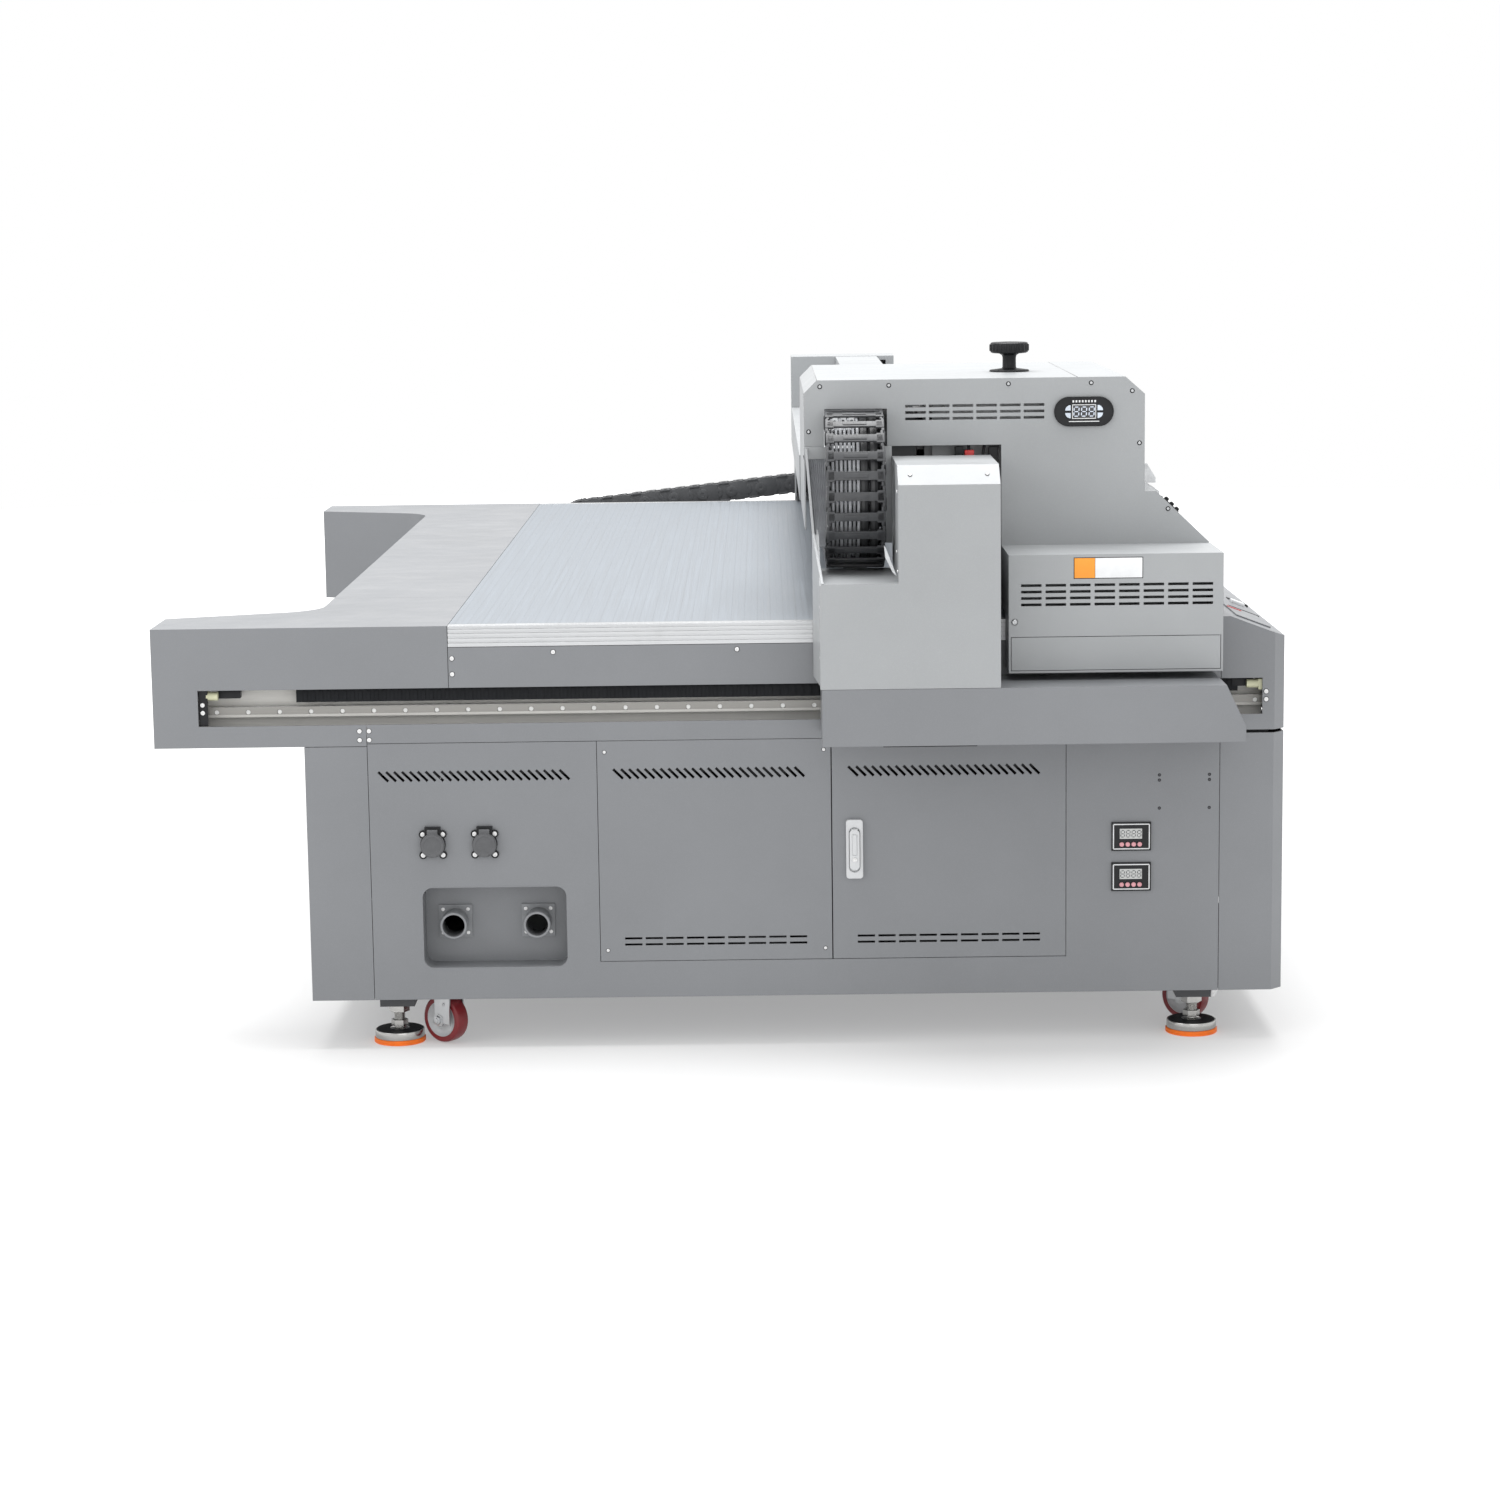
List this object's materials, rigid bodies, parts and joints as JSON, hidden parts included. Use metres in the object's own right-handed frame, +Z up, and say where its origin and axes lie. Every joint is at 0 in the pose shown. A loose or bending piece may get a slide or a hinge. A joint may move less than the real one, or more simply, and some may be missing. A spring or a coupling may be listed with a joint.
{
  "type": "flatbed UV printer",
  "caption": "Flatbed UV printer: a travelling gantry with a sliding print carriage over a flat bed, on a floor cabinet with levelling feet and casters.",
  "frame": {"origin": "bottom centre of the box round the whole machine, on the floor", "axes": "+X from the loading end to the end where the gantry parks, +Y from the near side with the door and duct outlets to the far side, +Z up"},
  "size_m": [2.148, 3.147, 1.326],
  "materials": {
    "cabinet_paint": "satin, fine texture",
    "frame_paint": "satin",
    "housing_paint": "satin, fine texture",
    "top_cover_paint": "satin, fine texture",
    "carriage_paint": "satin",
    "bed_anodised": "anodised, fine lines",
    "bare_aluminium": "extruded, bare",
    "rail_beam_steel": "machined, worn",
    "ground_steel": "ground",
    "black_oxide_screws": "black oxide",
    "yellow_buffer": "matt",
    "black_plastic": "fine grain",
    "duct_grey": "moulded",
    "pink_keys": "membrane",
    "handle_grey": "satin",
    "plated_feet": "plated",
    "orange_pads": "matt",
    "zinc_forks": "zinc plated",
    "red_polyurethane": "semi-gloss",
    "display_keys": "membrane",
    "head_metal": "machined",
    "lamp_metal": "satin",
    "blower_casting": "painted casting",
    "chain_nylon": "moulded"
  },
  "bodies": {
    "base": {"base_frame": "frame_paint", "base_pan": "cabinet_paint", "left_end_cover": "cabinet_paint", "right_end_cover": "cabinet_paint", "near_side_panel": "cabinet_paint", "near_access_panel": "cabinet_paint", "far_side_panel": "cabinet_paint", "vacuum_blower": "blower_casting", "near_arm_cover": "cabinet_paint", "far_arm_cover": "cabinet_paint", "left_top_cover": "cabinet_paint", "bed_table": "bed_anodised", "bed_edge_profiles": "bare_aluminium", "bed_side_covers": "cabinet_paint", "console_cover": "cabinet_paint", "console_panel": "cabinet_paint", "rail_beams": "rail_beam_steel", "linear_rails": "ground_steel", "rail_bolts": "ground_steel", "rail_buffers": "yellow_buffer", "drive_racks": "black_plastic", "duct_spigots": "duct_grey", "power_sockets": "black_plastic", "panel_meters": "black_plastic", "levelling_feet": "plated_feet", "levelling_pads": "orange_pads"},
    "gantry": {"gantry_beam": "frame_paint", "gantry_slides": "ground_steel", "beam_cover": "top_cover_paint", "carriage_rails": "ground_steel", "gantry_skirts": "cabinet_paint", "near_drive_housing": "housing_paint", "far_end_housing": "housing_paint", "ink_cabinet": "housing_paint", "cap_end_cover": "housing_paint", "cap_top_cover": "top_cover_paint", "display_bezel": "black_plastic", "carriage_cable_chain": "chain_nylon"},
    "carriage": {"print_carriage": "carriage_paint"},
    "head_unit": {"print_heads": "head_metal", "uv_lamps": "lamp_metal"},
    "side_chain": {"gantry_cable_chain": "chain_nylon"},
    "flap": {"ink_flap": "housing_paint"},
    "knob": {"lock_knob": "black_plastic"},
    "display_pad": {"display_keys": "display_keys"},
    "door": {"near_door": "cabinet_paint", "handle_plate": "handle_grey"},
    "lever": {"handle_lever": "handle_grey"},
    "lid_left": {"socket_lid_left": "black_plastic"},
    "lid_right": {"socket_lid_right": "black_plastic"},
    "upper_pad": {"meter_keys_upper": "pink_keys"},
    "lower_pad": {"meter_keys_lower": "pink_keys"},
    "fork_near_left": {"caster_fork_near_left": "zinc_forks"},
    "wheel_near_left": {"caster_wheel_near_left": "red_polyurethane"},
    "fork_near_right": {"caster_fork_near_right": "zinc_forks"},
    "wheel_near_right": {"caster_wheel_near_right": "red_polyurethane"},
    "fork_far_left": {"caster_fork_far_left": "zinc_forks"},
    "wheel_far_left": {"caster_wheel_far_left": "red_polyurethane"},
    "fork_far_right": {"caster_fork_far_right": "zinc_forks"},
    "wheel_far_right": {"caster_wheel_far_right": "red_polyurethane"}
  },
  "joints": [
    {"name": "gantry_travel", "type": "slide", "parent": "base", "child": "gantry", "axis": [1, 0, 0], "range_m": [-1.1, 0.02]},
    {"name": "side_chain_travel", "type": "slide", "parent": "base", "child": "side_chain", "axis": [1, 0, 0], "range_m": [-0.55, 0.01]},
    {"name": "carriage_travel", "type": "slide", "parent": "gantry", "child": "carriage", "axis": [0, 1, 0], "range_m": [0, 1.8]},
    {"name": "head_lift", "type": "slide", "parent": "carriage", "child": "head_unit", "axis": [0, 0, 1], "range_m": [0, 0.08]},
    {"name": "flap_hinge", "type": "hinge", "parent": "gantry", "child": "flap", "pos_m": [0.7425, -1.4785, 0.796], "axis": [-1, 0, 0], "range_deg": [0, 90]},
    {"name": "knob_turn", "type": "hinge", "parent": "gantry", "child": "knob", "pos_m": [0.578, -1.0135, 1.31], "axis": [0, 0, 1], "range_deg": [0, 90]},
    {"name": "display_press", "type": "slide", "parent": "gantry", "child": "display_pad", "axis": [0, 1, 0], "range_m": [0, 0.001], "stiffness_N_per_m": 800, "springref_m": -0.0005},
    {"name": "door_hinge", "type": "hinge", "parent": "base", "child": "door", "pos_m": [0.658, -1.3835, 0.38], "axis": [0, 0, 1], "range_deg": [0, 110]},
    {"name": "lever_hinge", "type": "hinge", "parent": "door", "child": "lever", "pos_m": [0.255, -1.3925, 0.419], "axis": [-1, 0, 0], "range_deg": [0, 40]},
    {"name": "lid_left_hinge", "type": "hinge", "parent": "base", "child": "lid_left", "pos_m": [-0.549, -1.3965, 0.428], "axis": [-1, 0, 0], "range_deg": [0, 110], "stiffness_Nm_per_rad": 0.02, "springref_deg": -28.65},
    {"name": "lid_right_hinge", "type": "hinge", "parent": "base", "child": "lid_right", "pos_m": [-0.45, -1.3965, 0.428], "axis": [-1, 0, 0], "range_deg": [0, 110], "stiffness_Nm_per_rad": 0.02, "springref_deg": -28.65},
    {"name": "upper_keys_press", "type": "slide", "parent": "base", "child": "upper_pad", "axis": [0, 1, 0], "range_m": [0, 0.001], "stiffness_N_per_m": 800, "springref_m": -0.0005},
    {"name": "lower_keys_press", "type": "slide", "parent": "base", "child": "lower_pad", "axis": [0, 1, 0], "range_m": [0, 0.001], "stiffness_N_per_m": 800, "springref_m": -0.0005},
    {"name": "swivel_near_left", "type": "hinge", "parent": "base", "child": "fork_near_left", "pos_m": [-0.523, -1.3375, 0.08], "axis": [0, 0, 1], "continuous": true},
    {"name": "roll_near_left", "type": "hinge", "parent": "fork_near_left", "child": "wheel_near_left", "pos_m": [-0.539, -1.3255, 0.048], "axis": [0.6, 0.8, 0], "continuous": true},
    {"name": "swivel_near_right", "type": "hinge", "parent": "base", "child": "fork_near_right", "pos_m": [0.894, -1.1965, 0.08], "axis": [0, 0, 1], "continuous": true},
    {"name": "roll_near_right", "type": "hinge", "parent": "fork_near_right", "child": "wheel_near_right", "pos_m": [0.91, -1.2085, 0.048], "axis": [0.6, 0.8, 0], "continuous": true},
    {"name": "swivel_far_left", "type": "hinge", "parent": "base", "child": "fork_far_left", "pos_m": [-0.523, 1.3375, 0.08], "axis": [0, 0, 1], "continuous": true},
    {"name": "roll_far_left", "type": "hinge", "parent": "fork_far_left", "child": "wheel_far_left", "pos_m": [-0.539, 1.3255, 0.048], "axis": [0.6, -0.8, 0], "continuous": true},
    {"name": "swivel_far_right", "type": "hinge", "parent": "base", "child": "fork_far_right", "pos_m": [0.894, 1.1965, 0.08], "axis": [0, 0, 1], "continuous": true},
    {"name": "roll_far_right", "type": "hinge", "parent": "fork_far_right", "child": "wheel_far_right", "pos_m": [0.91, 1.2085, 0.048], "axis": [0.6, -0.8, 0], "continuous": true}
  ],
  "couplings": [
    {"joint": "side_chain_travel", "follows": "gantry_travel", "ratio": 0.5}
  ]
}
